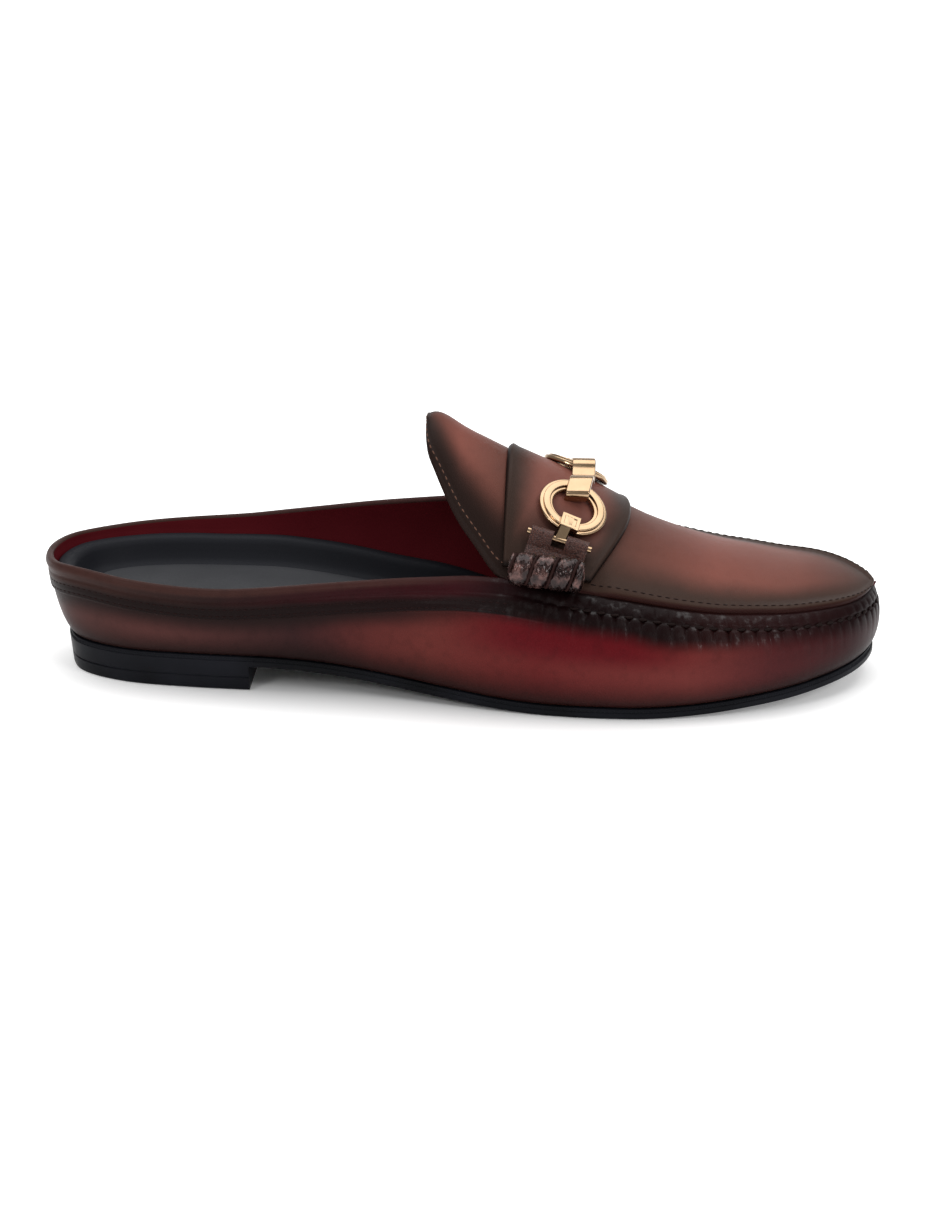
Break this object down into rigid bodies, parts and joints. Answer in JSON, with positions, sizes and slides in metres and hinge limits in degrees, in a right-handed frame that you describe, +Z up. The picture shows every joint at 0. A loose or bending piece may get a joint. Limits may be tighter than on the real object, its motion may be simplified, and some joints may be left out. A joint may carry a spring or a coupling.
{
  "type": "backless loafer mule",
  "caption": "Right shoe: backless leather loafer mule with a moccasin toe, a strap with rolled ends and a ring ornament, on a low heeled sole.",
  "frame": {"origin": "on the floor, under the middle of the shoe's box", "axes": "+X from heel to toe, +Y to the wearer's inner (medial) side, +Z up"},
  "size_m": [0.2986, 0.1062, 0.094],
  "materials": {
    "sole": "satin",
    "footbed": "matte",
    "burgundy_leather": "polished",
    "brown_leather": "brushed satin",
    "bronze_leather": "metallic satin",
    "gold": "polished"
  },
  "bodies": {
    "root": {"outsole": "sole", "insole": "footbed", "upper": "burgundy_leather", "saddle_strap": "brown_leather", "roll_lateral": "bronze_leather", "roll_medial": "bronze_leather", "loop_lateral": "bronze_leather", "loop_medial": "bronze_leather", "ring_lateral": "gold", "ring_medial": "gold", "link": "gold", "stem_lateral": "gold", "stem_medial": "gold"}
  },
  "joints": []
}
